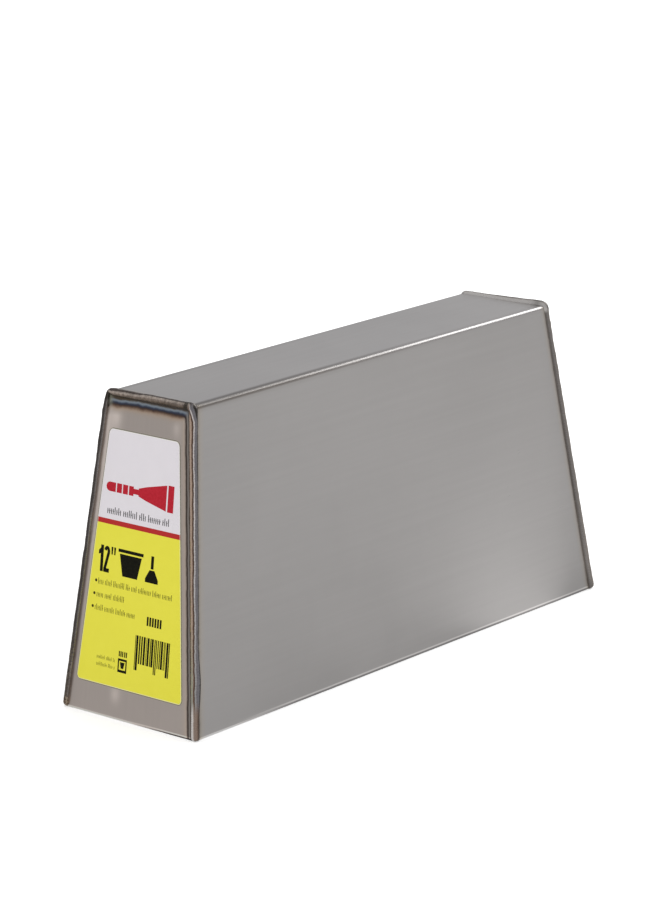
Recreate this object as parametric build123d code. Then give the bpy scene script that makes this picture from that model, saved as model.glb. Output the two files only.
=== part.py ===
"""Mud pan: a tapered stainless steel trough that holds joint compound for drywall taping.

The pan stands on its rim, open side down, as it does on a shelf. The origin is the centre of the
rim plane, +Z points up to the closed base, X runs along the pan and the label is on the -X end.
One folded sheet makes the base and the two long sides. A flat plate closes each end, and three
weld runs join each plate to the sheet. All sizes are in millimetres.
"""

from build123d import *
from math import atan2, cos, degrees, hypot
import os

# Outside sizes, measured between the outer faces of the sheet.
RIM_LENGTH = 317.5
RIM_WIDTH = 86.0
BASE_LENGTH = 276.0
BASE_WIDTH = 55.5
DEPTH = 158.0

# Sheet metal.
SHEET = 0.8  # thickness of the folded sheet and of the end plates
BEND_RADIUS = 1.6  # outside radius of the two folds along the base
SHEARED_EDGE_RADIUS = 0.3  # roll-over that shearing leaves on the outer edge of the rim

# Weld runs: round beads whose centreline lies just inside the outer corner of the joint.
WELD_RADIUS = 2.0
WELD_INSET = 0.25  # from each outer face to the centreline
WELD_RIM_GAP = 0.3  # from the rim plane to the rounded end of a side run
WELD_WRAP = 9.0  # how far a base run carries on round each corner and down the sides
WELD_CORNER_RADIUS = 2.15  # of the centreline, where a base run turns down a side

# Label: a rounded trapezium on the -X end plate, with sides parallel to the plate's own.
LABEL_BOTTOM = 15.6  # up the slope, from the rim to the label's lower edge
LABEL_HEIGHT = 125.8
LABEL_BOTTOM_WIDTH = 69.6
LABEL_OFFSET = 2.2  # the label sits this far off centre, towards +Y
LABEL_CORNER_RADIUS = 2.5
ADHESIVE_THICKNESS = 0.03
LABEL_THICKNESS = 0.12

# Derived sizes.
END_SLANT = atan2((RIM_LENGTH - BASE_LENGTH) / 2, DEPTH)  # lean of the end plates
SLOPE_HEIGHT = hypot((RIM_LENGTH - BASE_LENGTH) / 2, DEPTH)  # up an end plate, rim to base
SIDE_TAPER = (RIM_WIDTH - BASE_WIDTH) / 2 / SLOPE_HEIGHT  # width lost per side, per mm up it
SIDE_SLANT = atan2((RIM_WIDTH - BASE_WIDTH) / 2, DEPTH)
PAST_RIM = 20.0  # how far the cutting shapes run past the rim

# The outer face of the label end: local x points to -Y, local y up the slope, normal outwards.
LABEL_END = Plane(
    origin=(-RIM_LENGTH / 2, 0, 0),
    x_dir=(0, -1, 0),
    z_dir=Vector(-1, 0, 0).rotate(Axis.Y, degrees(END_SLANT)),
)


def trapezium(low_width, high_width, low, high):
    """A face symmetric about its local y axis, from local y = low to high."""
    outline = Polyline(
        (-low_width / 2, low),
        (low_width / 2, low),
        (high_width / 2, high),
        (-high_width / 2, high),
        close=True,
    )
    return make_face(outline)


def taper(rim_size, base_size, slant, inset, past):
    """The pan's trapezium in side or end view, inset from the outer faces and run past the rim."""
    slope = (rim_size - base_size) / 2 / DEPTH
    side = 2 * inset / cos(slant)
    low = rim_size - side + 2 * slope * past
    high = base_size - side + 2 * slope * inset
    return trapezium(low, high, -past, DEPTH - inset)


def long_prism(inset, past=0.0):
    """The filled cross-section of the folded sheet, run along X, with the two folds rounded."""
    section = taper(RIM_WIDTH, BASE_WIDTH, SIDE_SLANT, inset, past)
    folds = section.vertices().group_by(Axis.Y)[-1]
    section = fillet(folds, BEND_RADIUS - inset)
    return extrude(Plane.YZ * section, RIM_LENGTH / 2 + PAST_RIM, both=True)


def between_ends(inset, past=0.0):
    """Everything between the two sloping end faces, moved in by inset."""
    section = taper(RIM_LENGTH, BASE_LENGTH, END_SLANT, inset, past)
    return extrude(Plane.XZ * section, RIM_WIDTH, both=True)


def cavity():
    """The space inside the pan, run past the rim so that it cuts cleanly."""
    return long_prism(SHEET, PAST_RIM) & between_ends(SHEET, PAST_RIM)


def rim_edges(part, direction, limit):
    """The outermost straight edges of the rim on both sides, found by their reach in a direction."""
    edges = part.edges().filter_by_position(Axis.Z, -0.01, 0.01)
    return edges.filter_by(lambda edge: abs(abs(edge.center().dot(direction)) - limit) < 0.01)


def folded_sheet():
    """The base and both long sides, folded from one sheet, before welding."""
    sheet = long_prism(0) & between_ends(0)
    sheet -= long_prism(SHEET, PAST_RIM)
    return fillet(rim_edges(sheet, Vector(0, 1, 0), RIM_WIDTH / 2), SHEARED_EDGE_RADIUS)


def end_plate():
    """The flat plate of the label end, set between the sides, before welding."""
    plates = long_prism(SHEET) & (between_ends(0) - between_ends(SHEET, PAST_RIM))
    plates = fillet(rim_edges(plates, Vector(1, 0, 0), RIM_LENGTH / 2), SHEARED_EDGE_RADIUS)
    return plates.solids().sort_by(Axis.X)[0]


def weld_centreline():
    """The centreline of the label end's welds as (base run, side run ends), in 3-D."""
    plane = LABEL_END.offset(-WELD_INSET)
    side_angle = atan2((RIM_WIDTH - BASE_WIDTH) / 2, SLOPE_HEIGHT)
    side_inset = WELD_INSET / cos(side_angle)

    def on_side(height, side):
        half_width = RIM_WIDTH / 2 - SIDE_TAPER * height - side_inset
        return (side * half_width, height)

    top = SLOPE_HEIGHT - WELD_INSET
    wrap = top - WELD_WRAP
    outline = [on_side(wrap, -1), on_side(top, -1), on_side(top, 1), on_side(wrap, 1)]
    base_run = plane * FilletPolyline(*outline, radius=WELD_CORNER_RADIUS)
    low = (WELD_RADIUS + WELD_RIM_GAP) / cos(END_SLANT)
    side_runs = [
        [plane.from_local_coords(Vector(*on_side(height, side), 0)) for height in (low, wrap)]
        for side in (-1, 1)
    ]
    return base_run, side_runs


def base_run_bead(path):
    """A round bar swept along the base edge and round both corners."""
    start = Plane(origin=path @ 0, z_dir=path % 0)
    return sweep(start * Circle(WELD_RADIUS), path=path)


def side_run_bead(low, high):
    """A round bar from the rim up to the base run, with a domed end at the rim."""
    start = Plane(origin=low, z_dir=high - low)
    length = (high - low).length
    bar = start * Cylinder(WELD_RADIUS, length, align=(Align.CENTER, Align.CENTER, Align.MIN))
    dome = start * Sphere(WELD_RADIUS)
    return bar + dome


def label_layer(start, thickness):
    """One layer of the label, from start mm off the end plate's face."""
    low = LABEL_BOTTOM
    high = LABEL_BOTTOM + LABEL_HEIGHT
    top_width = LABEL_BOTTOM_WIDTH - 2 * SIDE_TAPER * LABEL_HEIGHT
    outline = trapezium(LABEL_BOTTOM_WIDTH, top_width, low, high)
    outline = fillet(outline.vertices(), LABEL_CORNER_RADIUS)
    place = LABEL_END.offset(start) * Pos(-LABEL_OFFSET, 0)
    return extrude(place * outline, thickness)


def other_end(part):
    """The same part at the other end of the pan."""
    return mirror(part, about=Plane.YZ)


def build():
    """Every node of the pan as {name: shape}."""
    base_path, (left, right) = weld_centreline()
    # At both ends left means +Y and right means -Y, as seen facing the label.
    beads = {
        "base_weld": base_run_bead(base_path),
        "left_weld": side_run_bead(*left),
        "right_weld": side_run_bead(*right),
    }
    sheet = folded_sheet()
    plate = end_plate()
    for bead in beads.values():
        sheet -= bead
        sheet -= other_end(bead)
        plate -= bead

    nodes = {
        "folded_sheet": sheet,
        "label_end_plate": plate,
        "plain_end_plate": other_end(plate),
    }
    inside = cavity()
    for name, bead in beads.items():
        run = bead - inside
        nodes[f"label_end_{name}"] = run
        nodes[f"plain_end_{name}"] = other_end(run)
    nodes["label_adhesive"] = label_layer(0, ADHESIVE_THICKNESS)
    nodes["label"] = label_layer(ADHESIVE_THICKNESS, LABEL_THICKNESS)
    return nodes


os.makedirs("parts", exist_ok=True)
for name, shape in build().items():
    export_step(shape, f"parts/{name}.step")
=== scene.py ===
from math import atan, cos, pi, radians, sin, tan

import bpy
import numpy as np
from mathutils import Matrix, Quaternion, Vector


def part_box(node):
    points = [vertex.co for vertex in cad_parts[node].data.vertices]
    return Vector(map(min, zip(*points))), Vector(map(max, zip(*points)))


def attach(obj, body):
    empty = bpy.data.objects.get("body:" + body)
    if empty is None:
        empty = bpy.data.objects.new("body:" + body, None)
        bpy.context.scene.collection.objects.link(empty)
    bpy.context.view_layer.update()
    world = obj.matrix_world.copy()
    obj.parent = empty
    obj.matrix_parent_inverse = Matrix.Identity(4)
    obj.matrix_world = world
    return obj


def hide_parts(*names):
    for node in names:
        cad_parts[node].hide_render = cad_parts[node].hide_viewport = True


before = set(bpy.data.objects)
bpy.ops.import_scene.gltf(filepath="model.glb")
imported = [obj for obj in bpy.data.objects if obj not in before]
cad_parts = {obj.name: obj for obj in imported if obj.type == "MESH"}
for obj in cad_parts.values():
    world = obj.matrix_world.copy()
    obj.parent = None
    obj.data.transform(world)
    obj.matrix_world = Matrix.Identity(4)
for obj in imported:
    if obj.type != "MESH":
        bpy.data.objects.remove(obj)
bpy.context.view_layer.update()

MM = 0.001

# Sheet metal, the same as in the CAD.
SHEET = 0.8 * MM
BEND_RADIUS = 1.6 * MM
ROLL_OVER = 0.35 * MM  # rounding that shearing leaves on the outer edge of the rim
SHEET_RECESS = 0.3 * MM  # the sheet's ends stop this far inside the weld

# Welds.
WELD_RADIUS = 2.0 * MM
WELD_INSET = 0.25 * MM
WELD_STEP = 0.22 * MM  # from one ring of points to the next
RIPPLE_PITCH = 1.35 * MM
RIPPLE_DEPTH = 0.030  # as a share of the bead's radius
FLOOR_GAP = 0.04 * MM  # the lowest that a bead reaches above the rim plane
WELD_WRAP = 9.0 * MM
WELD_RIM_GAP = 0.3 * MM
WELD_CORNER = 2.15 * MM  # radius of the centreline at a base corner

# Label.
LABEL_CORNER = 2.5 * MM
ADHESIVE = 0.03 * MM
LABEL = 0.12 * MM
INK = 0.02 * MM

# Camera.
CAMERA_AIM = Vector((0.0165, 0.0200, 0.0970))
CAMERA_AZIMUTH = radians(-49.43)
CAMERA_ELEVATION = radians(14.77)
CAMERA_ROLL = radians(-0.81)
CAMERA_DISTANCE = 1.858
CAMERA_LENS = 143.9


# ---- the pan's planes, from the frame

def node_points(node):
    """The vertices of a CAD node, as an array."""
    return np.array([v.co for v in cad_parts[node].data.vertices])


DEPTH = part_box("folded_sheet")[1].z


def leaning_face(node, axis):
    """(half size at the rim, half size lost per metre of height) of a node's sloping outer face."""
    points = node_points(node)
    reach, height = np.abs(points[:, axis]), points[:, 2]
    low = reach.argmax()
    upper = height > DEPTH / 2
    slope = np.max((reach[upper] - reach[low]) / (height[upper] - height[low]))
    return reach[low] - slope * height[low], -slope


HALF_LENGTH, END_SLOPE = leaning_face("label_end_plate", 0)
HALF_WIDTH, SIDE_SLOPE = leaning_face("folded_sheet", 1)
END_LEAN = atan(END_SLOPE)
SIDE_LEAN = atan(SIDE_SLOPE)
PLATE_HEIGHT = DEPTH / cos(END_LEAN)  # up the slope of an end plate
PLATE_TAPER = SIDE_SLOPE * cos(END_LEAN)  # half width lost per metre up the slope
PLATE_SIDE_LEAN = atan(PLATE_TAPER)


def half_length(height):
    """Half the pan's outer length at a height."""
    return HALF_LENGTH - END_SLOPE * height


def half_width(height):
    """Half the pan's outer width at a height."""
    return HALF_WIDTH - SIDE_SLOPE * height


def plate_half_width(up):
    """Half the pan's outer width, up the slope of an end plate."""
    return half_width(up * cos(END_LEAN))


def end_point(end, across, up, out):
    """Points on an end plane: end is -1 or 1, across is Y, up is along the slope, out is off it."""
    across, up, out = np.broadcast_arrays(across, up, out)
    x = half_length(up * cos(END_LEAN)) + out * cos(END_LEAN)
    z = up * cos(END_LEAN) + out * sin(END_LEAN)
    return np.stack([end * x, across, z], axis=-1)


# ---- smooth unevenness

def wander(seed, size):
    """A smooth random function of one array, about -1 to 1, with features of about the given size."""
    rng = np.random.default_rng(seed)
    count = 5
    rates = 2 * pi / (size * rng.uniform(0.7, 2.2, count))
    phases = rng.uniform(0, 2 * pi, count)
    weights = rng.uniform(0.5, 1.0, count)
    weights /= weights.sum()

    def value(t):
        waves = np.sin(np.multiply.outer(t, rates) + phases)
        return 1.6 * (waves * weights).sum(axis=-1)

    return value


def dents(seed, size):
    """A smooth random function of two arrays, about -1 to 1, with features of about the given size."""
    rng = np.random.default_rng(seed)
    count = 6
    angles = rng.uniform(0, 2 * pi, count)
    rates = 2 * pi / (size * rng.uniform(0.8, 2.0, count))
    phases = rng.uniform(0, 2 * pi, count)

    def value(a, b):
        waves = 0
        for angle, rate, phase in zip(angles, rates, phases):
            waves = waves + np.sin((a * cos(angle) + b * sin(angle)) * rate + phase)
        return waves / count * 1.5

    return value


def fade(distance, width):
    """0 at distance 0, rising smoothly to 1 at the given width."""
    t = np.clip(distance / width, 0, 1)
    return t * t * (3 - 2 * t)


def hump(distance, width, power=2):
    """1 at distance 0, falling smoothly on both sides past the given width. 4 is squarer than 2."""
    return np.exp(-(distance / width) ** power)


# ---- mesh building

CREASE = radians(35)  # edges that turn more sharply than this look sharp


def new_object(name, data):
    """A new object in the scene."""
    made = bpy.data.objects.new(name, data)
    bpy.context.scene.collection.objects.link(made)
    return made


def make_piece(name, points, faces, material, nodes, attributes):
    """A mesh object that rides on the root body, with float attributes on its points."""
    mesh = bpy.data.meshes.new(name)
    mesh.from_pydata(points.reshape(-1, 3).tolist(), [], faces)
    for key, values in attributes.items():
        layer = mesh.attributes.new(key, "FLOAT", "POINT")
        layer.data.foreach_set("value", np.asarray(values, np.float32).ravel())
    mesh.materials.append(material)
    mesh.shade_smooth()
    mesh.set_sharp_from_angle(angle=CREASE)
    piece = new_object(name, mesh)
    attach(piece, "root")
    if nodes:
        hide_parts(*nodes)
    return piece


def grid_quads(rows, columns, first, flip):
    """The quads of a grid of points, row by row, whose first point has the given number."""
    i, j = np.meshgrid(np.arange(rows - 1), np.arange(columns - 1), indexing="ij")
    a = first + i * columns + j
    quads = np.stack([a, a + 1, a + columns + 1, a + columns], axis=-1).reshape(-1, 4)
    return quads[:, ::-1] if flip else quads


def slab_faces(rows, columns, flip):
    """The faces of a closed slab: a front grid, a back grid and the four edges between them."""
    back = rows * columns
    front_quads = grid_quads(rows, columns, 0, flip)
    back_quads = grid_quads(rows, columns, back, not flip)
    top = np.arange(columns) + (rows - 1) * columns
    bottom = np.arange(columns)
    left = np.arange(rows) * columns
    right = left + columns - 1
    edge = np.concatenate([bottom[:-1], right[:-1], top[:0:-1], left[:0:-1]])
    after = np.roll(edge, -1)
    edges = np.stack([after, edge, edge + back, after + back], axis=-1)
    if flip:
        edges = edges[:, ::-1]
    return np.concatenate([front_quads, back_quads, edges]).tolist()


def slab(name, front, back, flip, material, slot, nodes, attributes):
    """A closed piece between two matching grids of points. Its attribute inside is 1 on the back."""
    rows, columns = front.shape[:2]
    points = np.concatenate([front.reshape(-1, 3), back.reshape(-1, 3)])
    doubled = {key: np.tile(values.ravel(), 2) for key, values in attributes.items()}
    doubled["inside"] = np.repeat([0.0, 1.0], rows * columns)
    return make_piece(name, points, slab_faces(rows, columns, flip), material, nodes, doubled)


def tube(name, rings, flip, material, nodes, attributes):
    """A closed piece through a row of matching closed rings, with a fan at each end."""
    stations, around = rings.shape[:2]
    i, j = np.meshgrid(np.arange(stations - 1), np.arange(around), indexing="ij")
    a = i * around + j
    b = i * around + (j + 1) % around
    quads = np.stack([a, b, b + around, a + around], axis=-1).reshape(-1, 4)
    tips = np.stack([rings[0].mean(axis=0), rings[-1].mean(axis=0)])
    first_tip = stations * around
    ring = np.arange(around)
    start = np.stack([np.roll(ring, -1), ring, np.full(around, first_tip)], axis=-1)
    last = ring + (stations - 1) * around
    end = np.stack([last, np.roll(last, -1), np.full(around, first_tip + 1)], axis=-1)
    if flip:
        quads, start, end = quads[:, ::-1], start[:, ::-1], end[:, ::-1]
    faces = quads.tolist() + start.tolist() + end.tolist()
    points = np.concatenate([rings.reshape(-1, 3), tips])
    padded = {}
    for key, values in attributes.items():
        ends = [values[0].mean(), values[-1].mean()]
        padded[key] = np.concatenate([values.ravel(), ends])
    return make_piece(name, points, faces, material, nodes, padded)


# ---- shader helpers

def add(tree, kind, inputs=None, **settings):
    """A new node. An input is a value, or a socket to link from."""
    node = tree.nodes.new(kind)
    for key, value in settings.items():
        setattr(node, key, value)
    for key, value in (inputs or {}).items():
        if isinstance(value, bpy.types.NodeSocket):
            tree.links.new(value, node.inputs[key])
        else:
            node.inputs[key].default_value = value
    return node


def maths(tree, operation, *values):
    """The output of a Math node."""
    return add(tree, "ShaderNodeMath", dict(enumerate(values)), operation=operation).outputs[0]


def total(tree, first, *others):
    """The sum of numbers."""
    for other in others:
        first = maths(tree, "ADD", first, other)
    return first


def product(tree, first, *others):
    """Numbers multiplied together."""
    for other in others:
        first = maths(tree, "MULTIPLY", first, other)
    return first


def attribute(tree, name):
    """A float attribute of the mesh."""
    return add(tree, "ShaderNodeAttribute", attribute_name=name).outputs["Fac"]


def place(tree):
    """The point being shaded, in metres in the pan's own frame."""
    return add(tree, "ShaderNodeTexCoord").outputs["Object"]


def coordinate(tree, axis):
    """The X, Y or Z of the point being shaded, in metres."""
    return add(tree, "ShaderNodeSeparateXYZ", {0: place(tree)}).outputs[axis]


def noise(tree, rates, detail=3.0, roughness=0.55, distortion=0.0, offset=(0, 0, 0)):
    """Noise over the pan's own frame, 0 to 1. rates are features per metre along X, Y and Z."""
    mapping = add(tree, "ShaderNodeMapping", {"Vector": place(tree), "Location": offset, "Scale": rates})
    inputs = {"Vector": mapping.outputs[0], "Scale": 1.0, "Detail": detail, "Roughness": roughness}
    inputs["Distortion"] = distortion
    return add(tree, "ShaderNodeTexNoise", inputs).outputs["Fac"]


def even(rate):
    """The same rate along X, Y and Z."""
    return (rate, rate, rate)


def ramp(tree, factor, stops):
    """A colour ramp: stops are (position, (r, g, b))."""
    node = add(tree, "ShaderNodeValToRGB", {"Fac": factor})
    elements = node.color_ramp.elements
    while len(elements) < len(stops):
        elements.new(0.5)
    for element, (position, colour) in zip(elements, stops):
        element.position = position
        element.color = (*colour, 1)
    return node.outputs["Color"]


def bands(tree, millimetres, stops):
    """A colour ramp whose stops are given in millimetres."""
    reach = stops[-1][0] + 1.0
    scaled = [(at / reach, colour) for at, colour in stops]
    return ramp(tree, maths(tree, "DIVIDE", millimetres, reach), scaled)


def remap(tree, value, low, high, to_low=0.0, to_high=1.0, kind="LINEAR"):
    """A value moved from one range to another, held at both ends."""
    inputs = {"Value": value, "From Min": low, "From Max": high, "To Min": to_low, "To Max": to_high}
    return add(tree, "ShaderNodeMapRange", inputs, interpolation_type=kind).outputs["Result"]


def vary(tree, value, low, high):
    """Noise moved to run between two values: it seldom leaves the middle 0.3 to 0.7 of its range."""
    return remap(tree, value, 0.3, 0.7, low, high)


def spread(tree, value, amount):
    """Noise moved to run between minus and plus the given amount."""
    return vary(tree, value, -amount, amount)


def scale_colour(tree, colour, factor):
    """A colour times a number."""
    return add(tree, "ShaderNodeVectorMath", {0: colour, "Scale": factor}, operation="SCALE").outputs[0]


def mix(tree, factor, first, second, blend="MIX"):
    """The mix of two colours."""
    first, second = [(*value, 1) if isinstance(value, tuple) else value for value in (first, second)]
    inputs = {0: factor, 6: first, 7: second}  # a Mix node's colour inputs come after its other kinds
    node = add(tree, "ShaderNodeMix", inputs, data_type="RGBA", blend_type=blend, clamp_factor=True)
    return node.outputs[2]


def bump(tree, height, distance, strength):
    """A normal bumped by a height map."""
    inputs = {"Height": height, "Distance": distance, "Strength": strength}
    return add(tree, "ShaderNodeBump", inputs).outputs["Normal"]


def mix_shaders(tree, factor, first, second):
    """The mix of two shaders."""
    return add(tree, "ShaderNodeMixShader", {0: factor, 1: first.outputs[0], 2: second.outputs[0]})


def new_material(name):
    """An empty material and its node tree."""
    material = bpy.data.materials.new(name)
    material.use_nodes = True
    material.node_tree.nodes.clear()
    return material, material.node_tree


def principled(tree, **values):
    """Makes a Principled shader the material's surface. Inputs have underscores for spaces."""
    inputs = {key.replace("_", " "): value for key, value in values.items()}
    shader = add(tree, "ShaderNodeBsdfPrincipled", inputs)
    add(tree, "ShaderNodeOutputMaterial", {"Surface": shader.outputs[0]})


# ---- materials

# Clean metal.
SHEET_METAL = (0.58, 0.565, 0.56)
PLATE_METAL = (0.62, 0.552, 0.512)

# Oxide colours by distance from a seam in millimetres, out to the clean metal.
SHEET_TINT = [
    (1.9, (0.12, 0.11, 0.10)),
    (2.6, (0.16, 0.145, 0.13)),
    (3.0, (0.34, 0.31, 0.28)),
    (3.5, (0.53, 0.49, 0.44)),
    (5.0, (0.60, 0.56, 0.52)),
]

PLATE_BASE_TINT = [
    (2.0, (0.11, 0.085, 0.06)),
    (2.3, (0.14, 0.12, 0.105)),
    (2.6, (0.22, 0.23, 0.235)),
    (3.1, (0.37, 0.42, 0.49)),
    (3.7, (0.21, 0.26, 0.33)),
    (4.1, (0.085, 0.10, 0.15)),
    (4.7, (0.065, 0.063, 0.085)),
    (5.1, (0.10, 0.070, 0.062)),
    (5.6, (0.19, 0.125, 0.095)),
    (6.15, (0.38, 0.265, 0.20)),
    (6.75, (0.57, 0.43, 0.33)),
    (7.5, (0.65, 0.52, 0.42)),
    (9.2, (0.62, 0.54, 0.48)),
]

PLATE_SIDE_TINT = [
    (2.2, (0.12, 0.09, 0.065)),
    (2.9, (0.10, 0.08, 0.065)),
    (3.15, (0.24, 0.21, 0.19)),
    (3.45, (0.36, 0.33, 0.31)),
    (3.95, (0.34, 0.31, 0.29)),
    (4.2, (0.22, 0.19, 0.17)),
    (4.5, (0.075, 0.055, 0.05)),
    (4.85, (0.07, 0.055, 0.05)),
    (5.2, (0.28, 0.23, 0.20)),
    (5.6, (0.58, 0.485, 0.42)),
    (6.2, (0.71, 0.60, 0.52)),
    (7.0, (0.67, 0.575, 0.51)),
    (9.2, (0.62, 0.55, 0.50)),
]

# Painted shade across a fold, the dark reflections either side of its highlight, in millimetres going round
# from the base to the side.
FOLD_MIDDLE = 6.0  # where the middle of the fold comes in the table
FOLD_PAINTED_SHADE = [
    (0.96, (1.00, 1.00, 1.00)),
    (2.16, (0.72, 0.71, 0.71)),
    (3.24, (0.36, 0.34, 0.33)),
    (4.32, (0.34, 0.32, 0.30)),
    (5.16, (0.66, 0.64, 0.62)),
    (6.00, (0.74, 0.72, 0.70)),
    (6.60, (0.46, 0.43, 0.40)),
    (7.20, (0.58, 0.55, 0.52)),
    (7.92, (0.92, 0.91, 0.90)),
    (9.60, (1.00, 1.00, 1.00)),
]


def steel(name, grain, base, oxide, rim_shading, rim_shade_stops):
    """Satin stainless sheet with rolling grain, faint smudges, painted highlight and shade along the rim,
    and whatever oxide(tree, metal) adds.
    """
    material, tree = new_material(name)
    fine = noise(tree, grain(3200), detail=2.0)
    streaks = noise(tree, grain(420), detail=4.0, roughness=0.6)
    smudge = noise(tree, even(26), distortion=0.6)
    broad = noise(tree, even(9), detail=1.0, offset=(3, 1, 7))
    uneven = [spread(tree, streaks, 0.016), spread(tree, smudge, 0.020), spread(tree, broad, 0.022)]
    metal = scale_colour(tree, base, total(tree, *uneven, 1.0))
    # The inside keeps a dull mill finish, which scatters light.
    inside = attribute(tree, "inside")
    roughness = total(tree, vary(tree, smudge, 0.30, 0.36), spread(tree, fine, 0.03))
    relief = total(tree, fine, product(tree, streaks, 0.6))
    principled(
        tree,
        Base_Color=rim_painted_light(tree, oxide(tree, metal), rim_shading(tree), rim_shade_stops),
        Metallic=remap(tree, inside, 0.0, 1.0, 1.0, 0.55),
        Roughness=total(tree, roughness, product(tree, inside, 0.12)),
        Normal=bump(tree, relief, 0.012 * MM, 0.6),
    )
    return material


def along_x(rate):
    """Grain that runs along X."""
    return (rate / 60, rate, rate)


def up_slope(rate):
    """Grain that runs up an end plate."""
    return (rate / 60, rate, rate / 60)


# Painted highlight and shade by height above the rim in millimetres: a highlight down to the edge, and
# painted shade along the edge with the highlight above it.
RIM_PAINTED_HIGHLIGHT = [(0.0, 1.10), (0.15, 1.75), (0.80, 1.75), (1.15, 1.10), (1.5, 1.0)]
SHEET_RIM_SHADE_AND_HIGHLIGHT = [
    (0.0, 0.60), (0.5, 0.45), (0.9, 0.55), (1.2, 1.60), (1.65, 1.75), (2.1, 1.05), (2.6, 1.0),
]
PLATE_RIM_SHADE_AND_HIGHLIGHT = [
    (0.0, 0.12), (0.58, 0.15), (0.75, 1.30), (0.90, 1.85), (1.30, 1.80), (1.5, 1.05), (1.8, 1.0),
]


def rim_painted_light(tree, colour, rim_shading, rim_shade_stops):
    """A painted highlight along the rim. Where the shading factor is 1, the edge under the highlight has
    painted shade.
    """
    ripple = noise(tree, (60, 60, 0), offset=(5, 2, 0))
    height = maths(tree, "DIVIDE", coordinate(tree, "Z"), MM)
    height = total(tree, height, spread(tree, ripple, 0.06))
    highlighted, dark = [
        bands(tree, height, [(at, even(value)) for at, value in stops]) for stops in (RIM_PAINTED_HIGHLIGHT, rim_shade_stops)
    ]
    return mix(tree, 1.0, colour, mix(tree, rim_shading, highlighted, dark), "MULTIPLY")


def sheet_rim_shading(tree):
    """The folded sheet's rim has the painted highlight right down to its edge at the label end only, and
    painted shade along its edge elsewhere.
    """
    return remap(tree, coordinate(tree, "X"), -0.130, -0.085, 0.0, 0.9)


def plate_rim_shading(tree):
    """An end plate's rim has the painted highlight right down to its edge towards +Y, and painted shade
    along its edge towards -Y.
    """
    return remap(tree, coordinate(tree, "Y"), -0.026, 0.0, 1.0, 0.0)


def sheet_oxide(tree, metal):
    """The folded sheet: a thin dark toe and a straw halo beside the welds, and painted shade along the
    folds.
    """
    ripple = noise(tree, (0, 300, 300), detail=2.0)
    seam = total(tree, attribute(tree, "seam_mm"), spread(tree, ripple, 0.2))
    colour = mix(tree, remap(tree, seam, 4.0, 7.5), bands(tree, seam, SHEET_TINT), metal)
    colour = scale_colour(tree, colour, attribute(tree, "end_shade"))
    # Painted shade beside each fold's highlight.
    fold_shaded = mix(tree, 1.0, colour, bands(tree, attribute(tree, "fold_mm"), FOLD_PAINTED_SHADE), "MULTIPLY")
    return mix(tree, attribute(tree, "fold_mark"), colour, fold_shaded)


def plate_oxide(tree, metal):
    """An end plate: blue and brown along the base seam, thin dark lines along the side seams, and painted
    highlights.
    """
    shift = spread(tree, noise(tree, (0, 150, 150), detail=4.0), 0.45)
    base = total(tree, attribute(tree, "base_seam_mm"), shift)
    side = total(tree, attribute(tree, "side_seam_mm"), product(tree, shift, 0.5))
    nearest = maths(tree, "SMOOTH_MIN", base, side, 2.4)
    by_base = remap(tree, maths(tree, "SUBTRACT", side, base), -1.5, 1.8)
    tint = mix(tree, by_base, bands(tree, nearest, PLATE_SIDE_TINT), bands(tree, nearest, PLATE_BASE_TINT))
    # Painted highlights: a lighter strip by the left weld and a few glints of reflected light.
    painted_highlight = scale_colour(tree, metal, total(tree, attribute(tree, "painted_highlight"), 1.0))
    colour = mix(tree, remap(tree, nearest, 6.4, 10.5), tint, painted_highlight)
    return mix(tree, attribute(tree, "straw"), colour, (0.40, 0.41, 0.33))


# Oxide bands across a weld, with a painted highlight along the crest, from its toe on the end plate (0) to
# its toe on the folded sheet (1).
RIGHT_BANDS = [
    (0.00, (0.10, 0.075, 0.06)),
    (0.155, (0.12, 0.09, 0.075)),
    (0.215, (0.64, 0.49, 0.385)),
    (0.35, (0.74, 0.56, 0.445)),
    (0.39, (0.34, 0.24, 0.18)),
    (0.42, (0.10, 0.055, 0.04)),
    (0.465, (0.20, 0.14, 0.11)),
    # A painted highlight along the crest.
    (0.495, (0.95, 0.89, 0.87)),
    (0.525, (1.00, 0.96, 0.95)),
    (0.545, (0.45, 0.41, 0.42)),
    (0.58, (0.26, 0.25, 0.27)),
    (0.64, (0.28, 0.27, 0.29)),
    (0.695, (0.27, 0.26, 0.28)),
    (0.73, (0.07, 0.065, 0.06)),
    (0.80, (0.05, 0.045, 0.04)),
    (0.88, (0.12, 0.105, 0.10)),
    (1.00, (0.12, 0.10, 0.09)),
]

# The last stretch above the rim: a painted reflection of the white floor on the plate's side, brown on the
# sheet's side.
RIGHT_END_BANDS = [
    (0.00, (0.10, 0.08, 0.07)),
    (0.10, (0.16, 0.14, 0.13)),
    (0.155, (0.55, 0.52, 0.50)),
    (0.20, (1.00, 0.96, 0.94)),
    (0.35, (1.00, 0.95, 0.92)),
    (0.39, (0.60, 0.50, 0.44)),
    (0.45, (0.38, 0.29, 0.24)),
    (0.55, (0.44, 0.33, 0.27)),
    (0.64, (0.28, 0.20, 0.16)),
    (0.73, (0.11, 0.08, 0.065)),
    (0.82, (0.10, 0.075, 0.06)),
    (0.90, (0.24, 0.19, 0.16)),
    (1.00, (0.12, 0.10, 0.09)),
]

LEFT_BANDS = [
    (0.00, (0.45, 0.40, 0.36)),
    (0.05, (0.40, 0.36, 0.33)),
    (0.08, (0.24, 0.21, 0.19)),
    (0.13, (0.26, 0.235, 0.22)),
    (0.19, (0.31, 0.29, 0.28)),
    (0.23, (0.26, 0.24, 0.23)),
    (0.265, (0.13, 0.115, 0.11)),
    (0.33, (0.09, 0.08, 0.075)),
    (0.42, (0.12, 0.11, 0.10)),
    (0.48, (0.24, 0.21, 0.19)),
    (0.60, (0.40, 0.33, 0.28)),
    (0.75, (0.18, 0.15, 0.13)),
    (0.90, (0.34, 0.30, 0.27)),
    (1.00, (0.12, 0.10, 0.09)),
]

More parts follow.
